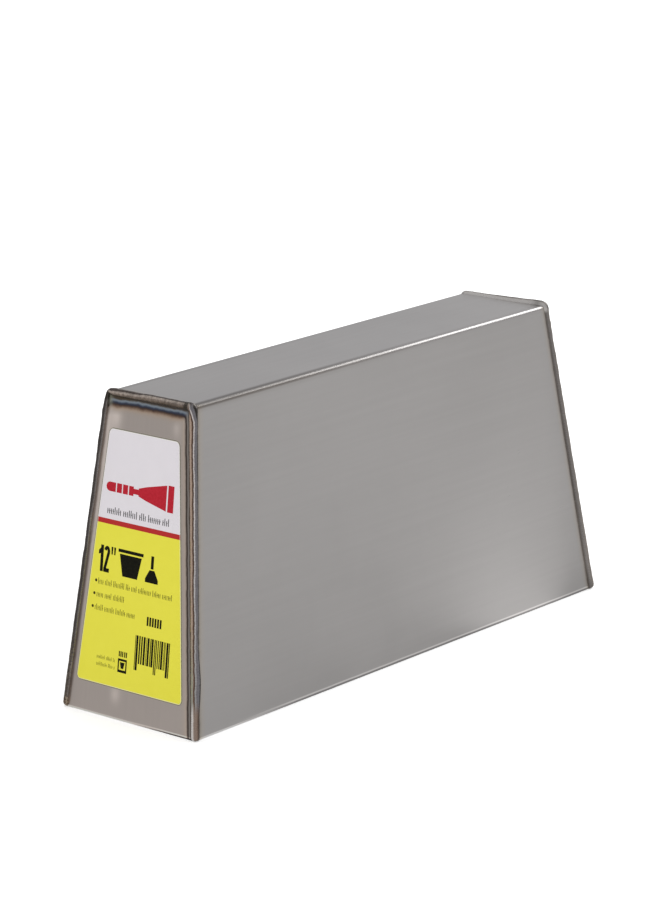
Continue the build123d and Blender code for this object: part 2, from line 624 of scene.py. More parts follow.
BASE_BANDS = [
    (0.00, (0.15, 0.13, 0.11)),
    (0.10, (0.17, 0.14, 0.12)),
    (0.19, (0.10, 0.075, 0.055)),
    (0.24, (0.17, 0.13, 0.10)),
    (0.32, (0.31, 0.25, 0.205)),
    (0.38, (0.36, 0.29, 0.25)),
    # A painted highlight along the crest.
    (0.43, (0.60, 0.51, 0.44)),
    (0.50, (0.64, 0.55, 0.49)),
    (0.535, (0.38, 0.33, 0.29)),
    (0.57, (0.12, 0.095, 0.085)),
    (0.67, (0.13, 0.11, 0.10)),
    (0.76, (0.38, 0.34, 0.31)),
    (0.92, (0.30, 0.27, 0.24)),
    (1.00, (0.14, 0.12, 0.11)),
]

# The plain end was welded cooler, so its beads are paler.
PLAIN_SIDE_BANDS = [
    (0.00, (0.12, 0.10, 0.09)),
    (0.12, (0.30, 0.26, 0.24)),
    (0.30, (0.44, 0.38, 0.34)),
    (0.45, (0.30, 0.27, 0.26)),
    (0.55, (0.50, 0.43, 0.37)),
    (0.64, (0.38, 0.33, 0.30)),
    (0.74, (0.31, 0.285, 0.27)),
    (0.85, (0.29, 0.27, 0.26)),
    (0.92, (0.20, 0.18, 0.17)),
    (1.00, (0.26, 0.235, 0.22)),
]

PLAIN_BASE_BANDS = [
    (0.00, (0.14, 0.12, 0.11)),
    (0.20, (0.30, 0.26, 0.23)),
    (0.40, (0.42, 0.37, 0.33)),
    (0.56, (0.22, 0.20, 0.185)),
    (0.67, (0.20, 0.18, 0.165)),
    (0.73, (0.42, 0.39, 0.37)),
    (0.79, (0.70, 0.67, 0.65)),
    (1.00, (0.80, 0.78, 0.76)),
]

# Straw-brown grit at the foot of a weld, by the strength of the grit's noise.
STRAW_GRIT = [
    (0.36, (0.06, 0.045, 0.035)),
    (0.45, (0.20, 0.14, 0.10)),
    (0.52, (0.36, 0.27, 0.19)),
    (0.62, (0.62, 0.50, 0.36)),
]


def weld_metal(name, corner_bands, spatter, mottle):
    """Weld metal: oxide bands and a painted highlight run along each bead, with ripples, specks and
    discoloured ends, and a painted reflection of the floor at one foot.
    """
    material, tree = new_material(name)
    left, middle, right = corner_bands
    wobble = noise(tree, even(420))
    slow = noise(tree, even(70), detail=2.0, offset=(2, 5, 1))
    specks = noise(tree, even(1500), detail=2.0)
    grit = noise(tree, even(900), offset=(1, 8, 4))
    blotches = noise(tree, even(620), detail=2.0, offset=(5, 1, 7))

    wander_across = [spread(tree, wobble, 0.014), spread(tree, slow, 0.022)]
    angle = total(tree, attribute(tree, "bead_angle"), *wander_across)
    blotches = remap(tree, blotches, 0.34, 0.66, 1.0 - mottle, 1.0 + mottle)
    crest = scale_colour(tree, ramp(tree, angle, middle), blotches)
    on_left = attribute(tree, "bead_side")
    on_right = product(tree, on_left, -1.0)
    colour = mix(tree, on_left, crest, ramp(tree, angle, left))
    colour = mix(tree, on_right, colour, ramp(tree, angle, right))
    # How bright a bead can be is capped, lowest at the rim and rising with height.
    cap = remap(tree, coordinate(tree, "Z"), 8.0 * MM, 110.0 * MM, 0.42, 1.0)
    colour = mix(tree, 1.0, colour, cap, "DARKEN")
    colour = mix(tree, remap(tree, specks, 0.55, 0.75, 0.0, spatter), colour, (0.05, 0.04, 0.035))
    # At the foot of a right-hand run the colour is a painted reflection of the floor; at a left-hand foot
    # it is straw grit.
    foot_grit_and_glint = mix(tree, on_right, ramp(tree, grit, STRAW_GRIT), ramp(tree, angle, RIGHT_END_BANDS))
    colour = mix(tree, attribute(tree, "bead_end"), colour, foot_grit_and_glint)
    # Scorch, with painted shade that dims the label end's base run short of its right corner.
    colour = mix(tree, attribute(tree, "bead_scorch_and_shade"), colour, (0.055, 0.048, 0.038))
    normal = bump(tree, total(tree, specks, wobble), 0.05 * MM, 0.5)
    roughness = vary(tree, specks, 0.22, 0.40)
    principled(tree, Base_Color=colour, Metallic=1.0, Roughness=roughness, Normal=normal)
    return material


# The red stripe on the label, in millimetres up from the label's lower edge.
STRIPE_LOW = 79.2
STRIPE_HIGH = 81.7


def label_stock():
    """Printed label: white above, a red stripe, yellow below, and a paler cut edge."""
    material, tree = new_material("printed_label")
    up = attribute(tree, "print_mm")
    mottle = noise(tree, even(120), detail=4.0)
    white = mix(tree, mottle, (0.70, 0.665, 0.70), (0.74, 0.705, 0.74))
    yellow = mix(tree, mottle, (0.75, 0.70, 0.042), (0.79, 0.74, 0.056))
    red = mix(tree, mottle, (0.42, 0.010, 0.008), (0.48, 0.014, 0.012))
    colour = mix(tree, maths(tree, "GREATER_THAN", up, STRIPE_LOW), yellow, red)
    colour = mix(tree, maths(tree, "GREATER_THAN", up, STRIPE_HIGH), colour, white)
    cut = remap(tree, attribute(tree, "edge_mm"), 0.25, 0.45, 0.45, 0.0)
    colour = mix(tree, cut, colour, (0.84, 0.82, 0.72))
    fibre = noise(tree, even(1800))
    roughness = vary(tree, fibre, 0.42, 0.52)
    normal = bump(tree, fibre, 0.006 * MM, 0.5)
    principled(tree, Base_Color=colour, Roughness=roughness, Normal=normal, Specular_IOR_Level=0.3)
    return material


def ink(name, dark, light):
    """Printing ink with slightly uneven cover."""
    material, tree = new_material(name)
    cover = noise(tree, even(900))
    colour = mix(tree, remap(tree, cover, 0.35, 0.65), dark, light)
    principled(tree, Base_Color=colour, Roughness=vary(tree, cover, 0.38, 0.5), Specular_IOR_Level=0.08)
    return material


def adhesive():
    """Thin cloudy glue, darker where it shows round the label."""
    material, tree = new_material("label_glue")
    cloud = noise(tree, even(300))
    clear = mix(tree, cloud, (0.62, 0.58, 0.48), (0.78, 0.75, 0.66))
    edge_tone = mix(tree, cloud, (0.13, 0.12, 0.085), (0.24, 0.22, 0.16))
    colour = mix(tree, remap(tree, attribute(tree, "edge_mm"), 0.35, 0.6), edge_tone, clear)
    principled(tree, Base_Color=colour, Roughness=vary(tree, cloud, 0.35, 0.6))
    return material


# ---- folded sheet

SHEET_WARP = dents(11, 0.16)
SHEET_WARP_DEPTH = 0.14 * MM
END_MARGIN = 25 * MM  # the welds hold the sheet true over this width
FOLD_MARGIN = 20 * MM  # and each fold does over this one


def half_profile():
    """(Y, Z, normal Y, normal Z) down one side of the outer skin, from mid-base to the rim."""
    lean = SIDE_LEAN
    bend_z = DEPTH - BEND_RADIUS
    bend_y = half_width(bend_z) - BEND_RADIUS / cos(lean)
    roll_y = half_width(ROLL_OVER) - ROLL_OVER / cos(lean)
    rows = []
    for y in np.linspace(0, bend_y, 14)[:-1]:
        rows.append((y, DEPTH, 0, 1))
    for angle in np.linspace(pi / 2, lean, 13):
        c, s = cos(angle), sin(angle)
        rows.append((bend_y + BEND_RADIUS * c, bend_z + BEND_RADIUS * s, c, s))
    start_z = rows[-1][1]
    end_z = ROLL_OVER + ROLL_OVER * sin(lean)
    for z in np.linspace(start_z, end_z, 64)[1:]:
        rows.append((half_width(z), z, cos(lean), sin(lean)))
    for angle in np.linspace(lean, -pi / 2, 6)[1:]:
        y = roll_y + ROLL_OVER * cos(angle)
        z = ROLL_OVER + ROLL_OVER * sin(angle)
        rows.append((y, z, cos(lean), sin(lean)))
    return np.array(rows)


def folded_sheet(material):
    """The base and both long sides."""
    half = half_profile()
    other = half[1:][::-1] * (-1, 1, -1, 1)
    y, z, ny, nz = np.concatenate([other, half]).T
    inner_y = y - SHEET * ny
    inner_z = z - SHEET * nz
    # The back of each roll-over row stays on the inner face, evenly spaced down to the rim.
    roll = z < ROLL_OVER * (1 + sin(SIDE_LEAN)) - 1e-9
    inner_z[roll] = z[roll] * 0.9
    inner_y[roll] = np.sign(y[roll]) * (half_width(inner_z[roll]) - SHEET / cos(SIDE_LEAN))

    t = np.linspace(-1, 1, 150)[:, None]
    developed = np.concatenate([[0], np.cumsum(np.hypot(np.diff(y), np.diff(z)))])
    reach = half_length(z) - SHEET_RECESS
    x = t * reach
    away = fade((1 - np.abs(t)) * reach, END_MARGIN)
    side = np.abs(ny) > 0.9
    fold_distance = np.where(side, DEPTH - z, half_width(DEPTH) - np.abs(y))
    free = away * fade(fold_distance, FOLD_MARGIN)
    amount = SHEET_WARP_DEPTH * SHEET_WARP(x, developed[None, :]) * free
    skins = []
    for skin_y, skin_z in ((y, z), (inner_y, inner_z)):
        height = np.maximum(skin_z + amount * nz, 0)
        skins.append(np.stack([x, skin_y + amount * ny, height], axis=-1))
    attributes = sheet_attributes(x, y, z, ny, developed)
    return slab("folded_sheet_body", *skins, True, material, "steel_sheet", ["folded_sheet"], attributes)


def sheet_attributes(x, y, z, ny, developed):
    """Distance from the weld seams and from the middle of the nearer fold, and how strongly the fold's
    painted shade is laid on.
    """
    seam = (half_length(z) - np.abs(x)) * cos(END_LEAN) / MM
    # The plain end was welded cooler: its tint is narrower, and there is none on the base.
    seam = seam + np.where(x > 0, 1.4, 0.0)
    seam = seam + np.where((x > 0) & (np.abs(ny) < 0.5), 4.0, 0.0)
    bending = (z > DEPTH - BEND_RADIUS) & (np.abs(ny) > 0) & (np.abs(ny) < cos(SIDE_LEAN) - 1e-9)
    right = developed[bending & (y < 0)]
    left = developed[bending & (y > 0)]
    from_right = (right.min() + right.max()) / 2 - developed
    from_left = developed - (left.min() + left.max()) / 2
    fold = np.where(y < 0, from_right, from_left) / MM + FOLD_MIDDLE
    # The painted shade is strongest on the right-hand fold, and most of all at the label end.
    painted_shade_strength = np.where(y < 0, 1.0, 0.25) * (1 - 0.88 * fade(x + HALF_LENGTH * 0.7, HALF_LENGTH * 1.3))
    # The heat of welding left the sheet a shade darker near the plain end.
    end_shade = 1 - 0.055 * (1 - fade(HALF_LENGTH - 6 * MM - x, 26 * MM))
    return {
        "seam_mm": seam,
        "fold_mm": np.broadcast_to(fold, x.shape),
        "fold_mark": painted_shade_strength,
        "end_shade": end_shade,
    }


# ---- end plates

PLATE_DENTS = {-1: dents(21, 0.09), 1: dents(22, 0.09)}
PLATE_DENT_DEPTH = 0.08 * MM
WELDED_MARGIN = 12 * MM  # the welds hold a plate's edges true over this width
# Glints of painted reflection on the label end plate.
GLINTS = [(10.9, 12.4, 0.40), (21.0, 147.2, 0.30), (-18.5, 147.5, 0.30)]  # across, up, how bright
GLINT_SIZE = (2.8 * MM, 4.2 * MM)


def plate_bulge(end, across, up):
    """How far an end plate stands off its plane."""
    from_side = plate_half_width(up) - np.abs(across)
    free = fade(from_side, WELDED_MARGIN) * fade(PLATE_HEIGHT - up, WELDED_MARGIN)
    return PLATE_DENT_DEPTH * PLATE_DENTS[end](across, up) * free


def plate_painted_highlight(end, across, up, from_side):
    """Where an end plate has painted highlights: a lighter strip by the left weld, and a few glints of
    painted reflection.
    """
    strip = 0.45 * (1 - fade(from_side - 4 * MM, 11 * MM)) + 0.15 * (1 - fade(from_side - 2.5 * MM, 3 * MM))
    strip = strip * (across > 0) * fade(up - 10 * MM, 120 * MM)
    if end > 0:
        return 0.5 * strip
    wide, tall = GLINT_SIZE
    glints = sum(
        strength * hump(across - middle * MM, wide) * hump(up - height * MM, tall)
        for middle, height, strength in GLINTS
    )
    return strip + glints


def straw_patch(across, below_base):
    """A pale straw-coloured patch in the left base corner of the label end."""
    return 0.9 * hump(across - 26.2 * MM, 1.7 * MM) * hump(below_base - 4.4 * MM, 2.4 * MM)


def end_plate(end, name, node, material):
    """One end plate, set inside the folded sheet."""
    inner_radius = BEND_RADIUS - SHEET
    top = PLATE_HEIGHT - SHEET
    turn = top - inner_radius
    rows = np.concatenate([
        ROLL_OVER * (1 - np.cos(np.linspace(0, pi / 2, 5)))[:-1],
        np.linspace(ROLL_OVER, turn, 110)[:-1],
        turn + inner_radius * np.sin(np.linspace(0, pi / 2, 9)),
    ])
    over = np.clip(rows - turn, 0, inner_radius)
    corner = inner_radius - np.sqrt(inner_radius ** 2 - over ** 2)
    widths = plate_half_width(rows) - SHEET / cos(SIDE_LEAN) - corner
    t = np.sin(np.linspace(-1, 1, 91) * pi / 2)[None, :]
    across = t * widths[:, None]
    up = np.broadcast_to(rows[:, None], across.shape)
    lift = plate_bulge(end, across, up)
    low = np.clip(ROLL_OVER - up, 0, ROLL_OVER)
    roll = ROLL_OVER - np.sqrt(ROLL_OVER ** 2 - low ** 2)
    front = end_point(end, across, up, lift - roll)
    level = up + (SHEET - roll) * tan(END_LEAN)  # keeps the back at the front's height above the rim
    back = end_point(end, across, level, lift - SHEET)
    for skin in (front, back):
        skin[..., 2] = np.maximum(skin[..., 2], 0)
    from_side = plate_half_width(up) - np.abs(across)
    below_base = PLATE_HEIGHT - up
    # The left seam of the label end was cleaned, so its tint shows only close to the base seam.
    cleaned = np.where((end < 0) & (across > 0), 2.6 + 5.4 * fade(below_base - 5 * MM, 9 * MM), 0.0)
    widened = 0.2 + 0.75 * fade(across - 8 * MM, 14 * MM) * (end < 0)
    attributes = {
        "side_seam_mm": from_side * cos(SIDE_LEAN) / MM + cleaned,
        "base_seam_mm": below_base / MM - widened,
        "painted_highlight": plate_painted_highlight(end, across, up, from_side),
        "straw": straw_patch(across, below_base) * (end < 0),
    }
    return slab(name, front, back, end < 0, material, "steel_sheet", [node], attributes)


# ---- welds

SIDE_RUN_TOP = PLATE_HEIGHT - WELD_INSET - WELD_WRAP
CORNER_AT = WELD_WRAP - 0.5 * MM  # along a base run, from either end to the corner it wraps round
# A bead's outline: an arc from its toe on the end plate to its toe on the sheet, closed by a root
# buried in the corner of the joint. Angles are from the plate's normal.
ARC_MIDDLE = radians(45)
ARC_HALF = radians(127.8)
ARC = np.linspace(ARC_MIDDLE - ARC_HALF, ARC_MIDDLE + ARC_HALF, 30)
ARC_SHARE = (ARC - ARC[0]) / (ARC[-1] - ARC[0])
ROOT = np.array([[-1.98, 0.1], [-1.8, -0.25], [-0.3, -0.3], [-0.25, -1.8], [0.1, -1.98]]) * MM


def bead_rings(centres, outward, normal, along, seed, scale, toe=0.0, skirt=0.0):
    """Rings round a weld's centreline, rippled along it. outward points away from the plate.

    scale swells the crest, toe draws in the side on the end plate, and skirt swells the other side.
    """
    wide = wander(seed, 14 * MM)
    uneven = wander(seed + 1, 5 * MM)
    lean = wander(seed + 2, 20 * MM)
    crest = ARC - ARC_MIDDLE
    window = np.cos(np.clip(crest / ARC_HALF, -1, 1) * pi / 2)
    toe_window = 1 - fade(ARC_SHARE, 0.35)
    skirt_window = fade(ARC_SHARE - 0.5, 0.3) * (1 - fade(ARC_SHARE - 0.86, 0.14))
    swell = 1 + np.multiply.outer(scale, window)
    swell = swell - np.multiply.outer(np.broadcast_to(toe, along.shape), toe_window)
    swell = swell + np.multiply.outer(np.broadcast_to(skirt, along.shape), skirt_window)
    swell = swell + np.multiply.outer(0.05 * wide(along) + 0.025 * uneven(along), window)
    phase = along[:, None] + 0.35 * MM * (crest / radians(60)) ** 2 + 0.1 * MM * uneven(along)[:, None]
    ripple = RIPPLE_DEPTH * np.abs(np.sin(pi * phase / RIPPLE_PITCH)) * window
    radius = WELD_RADIUS * (swell + ripple - 0.02)
    angle = ARC + radians(3) * np.multiply.outer(lean(along), window)
    outline = np.stack([radius * np.cos(angle), radius * np.sin(angle)], axis=-1)
    root = np.broadcast_to(ROOT, (len(along), *ROOT.shape))
    off, out = np.moveaxis(np.concatenate([outline, root], axis=1), -1, 0)[..., None]
    return centres[:, None, :] + off * normal + out * outward[:, None, :]


def bead_attributes(rings, side, foot_grit_and_glint, shift=0.0, scorch_and_shade=0.0):
    """How far round the bead each point is, which corner it is on, where it is discoloured, and where it
    carries a painted reflection at its foot and painted shade.
    """
    root = np.linspace(1, 0, len(ROOT) + 2)[1:-1]
    per_ring = {"bead_side": side, "bead_end": foot_grit_and_glint, "bead_scorch_and_shade": scorch_and_shade}
    values = {key: np.broadcast_to(value, len(rings))[:, None] for key, value in per_ring.items()}
    values["bead_angle"] = np.concatenate([ARC_SHARE, root]) + np.broadcast_to(shift, len(rings))[:, None]
    return {key: np.broadcast_to(value, rings.shape[:2]) for key, value in values.items()}


def end_frame(end):
    """The outward normal of an end plate and the direction up its slope."""
    normal = np.array([end * cos(END_LEAN), 0, sin(END_LEAN)])
    up = np.array([-end * sin(END_LEAN), 0, cos(END_LEAN)])
    return normal, up


def side_shape(end, side, heights):
    """(scale, toe, skirt) of a side run at each height, as bead_rings() takes them."""
    if end > 0:
        return 0.02 - 0.34 * heights / SIDE_RUN_TOP, 0.0, 0.0
    if side > 0:
        return 0.02 + 0.06 * (1 - fade(heights - 15 * MM, 70 * MM)), 0.55, 0.0
    bulge = hump(heights - 28 * MM, 12 * MM)
    pinch = hump(heights - 49 * MM, 7 * MM)
    return 0.02 * bulge, 0.0, 0.38 * bulge - 0.28 * pinch


def side_foot_grit_and_glint(end, side, heights):
    """How far a side run takes the colour of its foot at each height: straw grit on the left, a painted
    reflection of the floor on the right.
    """
    if end > 0:
        return 0.0
    if side > 0:
        foot = 0.8 * (1 - fade(heights - 3.0 * MM, 5 * MM))
        return np.maximum(foot, 0.2 * (1 - fade(heights - 26 * MM, 18 * MM)))
    return 1 - fade(heights - 12 * MM, 8 * MM)


def side_run(end, side, name, node, material, seed):
    """One weld run from the base run down a corner to just above the rim."""
    normal, up = end_frame(end)
    low = (WELD_RADIUS + WELD_RIM_GAP) / cos(END_LEAN)
    heights = np.arange(SIDE_RUN_TOP + 1.0 * MM, low - WELD_RADIUS * 0.98, -WELD_STEP)
    edge = plate_half_width(heights) - WELD_INSET / cos(SIDE_LEAN)
    centres = end_point(end, side * edge, heights, -WELD_INSET)
    outward = side * cos(PLATE_SIDE_LEAN) * np.array([0, 1, 0]) + sin(PLATE_SIDE_LEAN) * up
    outward = np.broadcast_to(outward, centres.shape)
    along = SIDE_RUN_TOP - heights
    below = np.clip(low - heights, 0, WELD_RADIUS)
    dome = np.sqrt(1 - (below / WELD_RADIUS) ** 2) - 1
    start = 0.05 * hump(along, 1.6 * MM) - 0.10 * fade(-along + 0.2 * MM, 1.2 * MM)
    scale, toe, skirt = side_shape(end, side, heights)
    rings = bead_rings(centres, outward, normal, along, seed, dome + start + scale, toe, skirt)
    rings[..., 2] = np.maximum(rings[..., 2], FLOOR_GAP)
    attributes = bead_attributes(rings, float(side), side_foot_grit_and_glint(end, side, heights))
    return tube(name, rings, end * side > 0, material, [node], attributes)


def base_path():
    """(across, up, outward across, outward up) along a base run, from +Y round to -Y."""
    out_across, out_up = cos(PLATE_SIDE_LEAN), sin(PLATE_SIDE_LEAN)
    top = PLATE_HEIGHT - WELD_INSET
    radius = WELD_CORNER
    centre_up = top - radius
    centre_across = plate_half_width(centre_up) - (WELD_INSET + radius) / out_across
    rows = []
    for up in np.arange(SIDE_RUN_TOP, centre_up + radius * out_up, WELD_STEP):
        edge = plate_half_width(up) - WELD_INSET / out_across
        rows.append((edge, up, out_across, out_up))
    for angle in np.linspace(PLATE_SIDE_LEAN, pi / 2, 18)[1:]:
        c, s = cos(angle), sin(angle)
        rows.append((centre_across + radius * c, centre_up + radius * s, c, s))
    for across in np.arange(centre_across, 0, -WELD_STEP)[1:]:
        rows.append((across, top, 0, 1))
    half = np.array(rows)
    return np.concatenate([half, half[::-1] * (-1, 1, -1, 1)])


def base_run(end, name, node, material, seed):
    """The weld run along the base edge, wrapped round both corners."""
    normal, up = end_frame(end)
    across, height, out_across, out_up = base_path().T
    centres = end_point(end, across, height, -WELD_INSET)
    outward = out_across[:, None] * np.array([0, 1, 0]) + out_up[:, None] * up
    steps = np.hypot(np.diff(across), np.diff(height))
    along = np.concatenate([[0], np.cumsum(steps)])
    past_left, past_right = along - CORNER_AT, along - along[-1] + CORNER_AT
    on_left = 1 - fade(past_left + 0.5 * MM, 2.5 * MM)
    on_right = fade(past_right + (2.0 if end < 0 else -0.5) * MM, 2.5 * MM)
    width = along[-1] - 2 * CORNER_AT
    swell = base_swell(end, past_left, past_right, width) + 0.08 * (
        fade(along, 0.9 * MM) + fade(along[-1] - along, 0.9 * MM) - 2
    )
    if end < 0:
        shift, toe, scorch_and_shade = label_end_marks(past_left, past_right, on_left, on_right, width)
    else:
        shift, toe, scorch_and_shade = 0.0, 0.0, 0.4 * hump(past_right + 4.0 * MM, 3 * MM)
    rings = bead_rings(centres, outward, normal, along, seed, swell, toe)
    attributes = bead_attributes(rings, on_left - on_right, 0.0, shift, scorch_and_shade)
    return tube(name, rings, end < 0, material, [node], attributes)


def label_end_marks(past_left, past_right, on_left, on_right, width):
    """(shift of the bands, toe, scorch with painted shade) of the label end's base run.

    The torch lingered short of the right corner and at the left one, and the bands step past them,
    carrying the painted highlight on the crest with them. Painted shade dims the run short of the right
    corner.
    """
    shift = 0.20 * np.clip(1 - past_right / (6.5 * MM), 0, 1) * on_right
    shift = shift + 0.12 * (1 - on_left) * (1 - fade(past_left, 0.75 * width))
    lingered = 0.9 * hump(past_right + 3.0 * MM, 1.3 * MM, 4)
    # Painted shade that dims the run, and its painted highlight, short of the right corner.
    painted_dimming = 0.22 * fade(past_right + 24 * MM, 16 * MM) * (1 - on_right)
    left = 0.8 * hump(past_left + 1.5 * MM, 2.2 * MM, 4)
    scorch_and_shade = np.minimum(lingered + painted_dimming + left, 0.9)
    toe = 0.55 * (1 - fade(past_left, 3 * MM))
    return shift, toe, scorch_and_shade


def base_swell(end, past_left, past_right, width):
    """How much fatter or thinner than nominal a base run is: lumps at the corners, or ground down."""
    if end > 0:
        # Low at the left corner, rising to full height at the right one.
        rise = fade(past_left + 2 * MM, width)
        wrap = 1 - fade(past_left + CORNER_AT, CORNER_AT)
        thin = fade(past_right + 3.5 * MM, 6 * MM)
        return -0.26 + 0.38 * rise ** 0.7 + 0.26 * rise ** 4 + 0.2 * wrap - 0.68 * thin
    cut = 0.16 * hump(past_left + 0.5 * MM, 2.2 * MM)
    lump = 0.10 * hump(past_left - 4.0 * MM, 1.4 * MM)
    right = 0.13 * hump(past_right, 2.2 * MM)
    slim = 0.14 * (1 - fade(past_left, 0.6 * width))
    return 0.05 - slim - cut + lump + right


# ---- label

LABEL_LOW, LABEL_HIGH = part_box("label")
LABEL_BOTTOM = LABEL_LOW.z / cos(END_LEAN)
LABEL_TOP = LABEL_HIGH.z / cos(END_LEAN)
LABEL_CENTRE = (LABEL_LOW.y + LABEL_HIGH.y) / 2
LABEL_HALF_WIDTH = 34.8 * MM  # at its lower edge
LABEL_WAVES = dents(31, 0.035)
LABEL_WAVE_HEIGHT = 0.012 * MM
GLUE_MARGIN = 0.45 * MM  # how far the glue shows past the label
LABEL_SLOTS = {"label": "label_stock", "label_adhesive": "label_adhesive"}


def label_lift(across, up):
    """How far the label's face stands off the end plane."""
    waves = LABEL_WAVE_HEIGHT * LABEL_WAVES(across, up)
    return plate_bulge(-1, across, up) + ADHESIVE + LABEL + waves


def label_grid(shrink):
    """(across, up, distance from the edge) over the label, drawn in by shrink."""
    radius = LABEL_CORNER - shrink
    low, high = LABEL_BOTTOM + shrink, LABEL_TOP - shrink
    curve = radius * (1 - np.cos(np.linspace(0, pi / 2, 9)))
    middle = np.linspace(low + radius, high - radius, 70)
    rows = np.concatenate([low + curve[:-1], middle, high - curve[::-1][1:]])
    from_end = np.minimum(rows - low, high - rows)
    near = np.clip(radius - from_end, 0, radius)
    corner = radius - np.sqrt(radius ** 2 - near ** 2)
    widths = LABEL_HALF_WIDTH - PLATE_TAPER * (rows - LABEL_BOTTOM) - shrink - corner
    t = np.sin(np.linspace(-1, 1, 49) * pi / 2)[None, :]
    across = LABEL_CENTRE + t * widths[:, None]
    up = np.broadcast_to(rows[:, None], across.shape)
    to_side = (1 - np.abs(t)) * widths[:, None]
    edge = np.minimum(to_side, from_end[:, None])
    return across, up, edge


def label_layer(name, node, shrink, back_off, front_off, material):
    """One layer of the label, between two offsets from its face."""
    across, up, edge = label_grid(shrink)
    lift = label_lift(across, up)
    skins = [end_point(-1, across, up, lift + offset) for offset in (front_off, back_off)]
    attributes = {"print_mm": (up - LABEL_BOTTOM) / MM, "edge_mm": edge / MM}
    slot = LABEL_SLOTS[node]
    return slab(name, *skins, True, material, slot, [node], attributes)


# ---- print on the label
# Print is laid out in millimetres: left is how far left of the pan's centre line, as one faces the
# label, and up is the height on the slope above the rim. The only figure is the pan's size, 12.
# Nothing else stands for a letter, a figure or a code.

PRINT_CELL = 4.0  # longest stretch of print, in millimetres, that stays flat across the label's waves


def print_grid(first, second):
    """(left, up) points between two matching edge lines of one printed shape, on a fine grid."""
    first, second = np.array(first, float), np.array(second, float)
    rows = [0.0]
    for start, end in zip((first + second)[:-1] / 2, (first + second)[1:] / 2):
        pieces = max(1, int(np.ceil(np.hypot(*(end - start)) / PRINT_CELL)))
        whole = round(rows[-1])
        rows += [whole + (k + 1) / pieces for k in range(pieces)]
    rows = np.array(rows)
    knots = np.arange(len(first))
    line_a = np.stack([np.interp(rows, knots, first[:, i]) for i in (0, 1)], axis=-1)
    line_b = np.stack([np.interp(rows, knots, second[:, i]) for i in (0, 1)], axis=-1)
    columns = max(1, int(np.ceil(np.abs(first - second).max() / PRINT_CELL)))
    t = np.linspace(0, 1, columns + 1)[None, :, None]
    return line_a[:, None, :] * (1 - t) + line_b[:, None, :] * t


def bar(left, right, low, high):
    """A printed rectangle."""
    return [(left, low), (left, high)], [(right, low), (right, high)]


def tapered(middle, stations):
    """A printed shape of changing height about a middle line: stations are (left, half height)."""
    low, high = [[(left, middle + way * half) for left, half in stations] for way in (-1, 1)]
    return low, high


def dot(left, up, radius):
    """A printed disc."""
    angles = np.linspace(-pi / 2, pi / 2, 7)
    heights = up + radius * np.sin(angles)
    reach = np.maximum(radius * np.cos(angles), 0.02)
    return list(zip(left + reach, heights)), list(zip(left - reach, heights))


def stroke(points, half_width):
    """A printed line of even thickness through points, with square ends."""
    points = np.array(points, float)
    runs = np.diff(points, axis=0)
    runs /= np.hypot(runs[:, 0], runs[:, 1])[:, None]
    ways = np.concatenate([runs[:1], runs[:-1] + runs[1:], runs[-1:]])
    ways /= np.hypot(ways[:, 0], ways[:, 1])[:, None]
    across = np.stack([-ways[:, 1], ways[:, 0]], axis=-1) * half_width
    return points + across, points - across


def printed(name, shapes, material):
    """One piece of printed ink made of many shapes, each a thin closed slab in the label's face."""
    points, faces, count = [], [], 0
    for first, second in shapes:
        grid = print_grid(first, second)
        across, up = grid[..., 0] * MM, grid[..., 1] * MM
        lift = label_lift(across, up)
        skins = [end_point(-1, across, up, lift + offset).reshape(-1, 3) for offset in (INK, -INK)]
        along, over = grid[1, 0] - grid[0, 0], grid[0, 1] - grid[0, 0]
        flip = over[0] * along[1] - over[1] * along[0] > 0
        faces += (np.array(slab_faces(*grid.shape[:2], flip)) + count).tolist()
        points += skins
        count += 2 * len(skins[0])
    return make_piece(name, np.concatenate(points), faces, material, (), {})


def mock_words(left, right, low, high, seed, stem=0.30, pitch=0.95):
    """A line of small upright ticks grouped like words, which says nothing."""
    rng = np.random.default_rng(seed)
    tall_chance, short_share = 0.3, 0.72
    joined_chance, joint_share = 0.55, 0.36
    middle = low + joint_share * (high - low)
    shapes = []
    at = left
    while at - pitch > right:
        for _ in range(rng.integers(3, 10)):
            if at - pitch < right:
                break
            top = high if rng.random() < tall_chance else low + short_share * (high - low)
            shapes.append(bar(at, at - stem, low, top))
            if rng.random() < joined_chance:
                shapes.append(bar(at - stem, at - 0.68 * pitch, middle, middle + 0.8 * stem))
            at -= pitch
        at -= 0.8 * pitch
    return shapes


def taping_knife():
    """A taping knife lying on its side: a gripped handle, a ferrule and a wide blade."""
    middle, grip, neck, edge = 113.2, 2.3, 1.3, 6.5
    shapes = [dot(22.6, middle, grip)]
    for left, right in ((22.6, 18.6), (17.9, 14.6), (13.9, 10.6), (9.9, 6.9)):
        shapes.append(bar(left, right, middle - grip, middle + grip))
    shapes.append(bar(6.9, 3.6, middle - neck, middle + neck))
    shapes.append(tapered(middle, [(3.6, 1.9), (-1.5, 3.4), (-14.6, 6.3)]))
    shapes.append(bar(-15.5, -19.3, middle - edge, middle + edge))
    return shapes


def size_numerals():
    """The size of knife that the pan takes: 12, with two ticks for inches."""
    low, high, foot = 70.9, 84.0, 72.9
    stem = bar(25.9, 24.0, low, high)
    flag = [(25.9, 79.6), (25.9, 82.4)], [(27.2, 79.2), (27.2, 81.2)]
    turns = np.radians(np.linspace(-40, 165, 11))
    bow = [(21.75 - 1.15 * cos(turn), 81.2 + 1.9 * sin(turn)) for turn in turns]
    two = stroke([(22.9, 72.3)] + bow, 0.85)
    base = bar(23.7, 19.9, low, foot)
    ticks = [
        ([(left, high), (left - 0.2, 80.2)], [(left - 1.2, high), (left - 1.0, 80.2)])
        for left in (19.0, 17.2)
    ]
    return [stem, flag, two, base, *ticks]


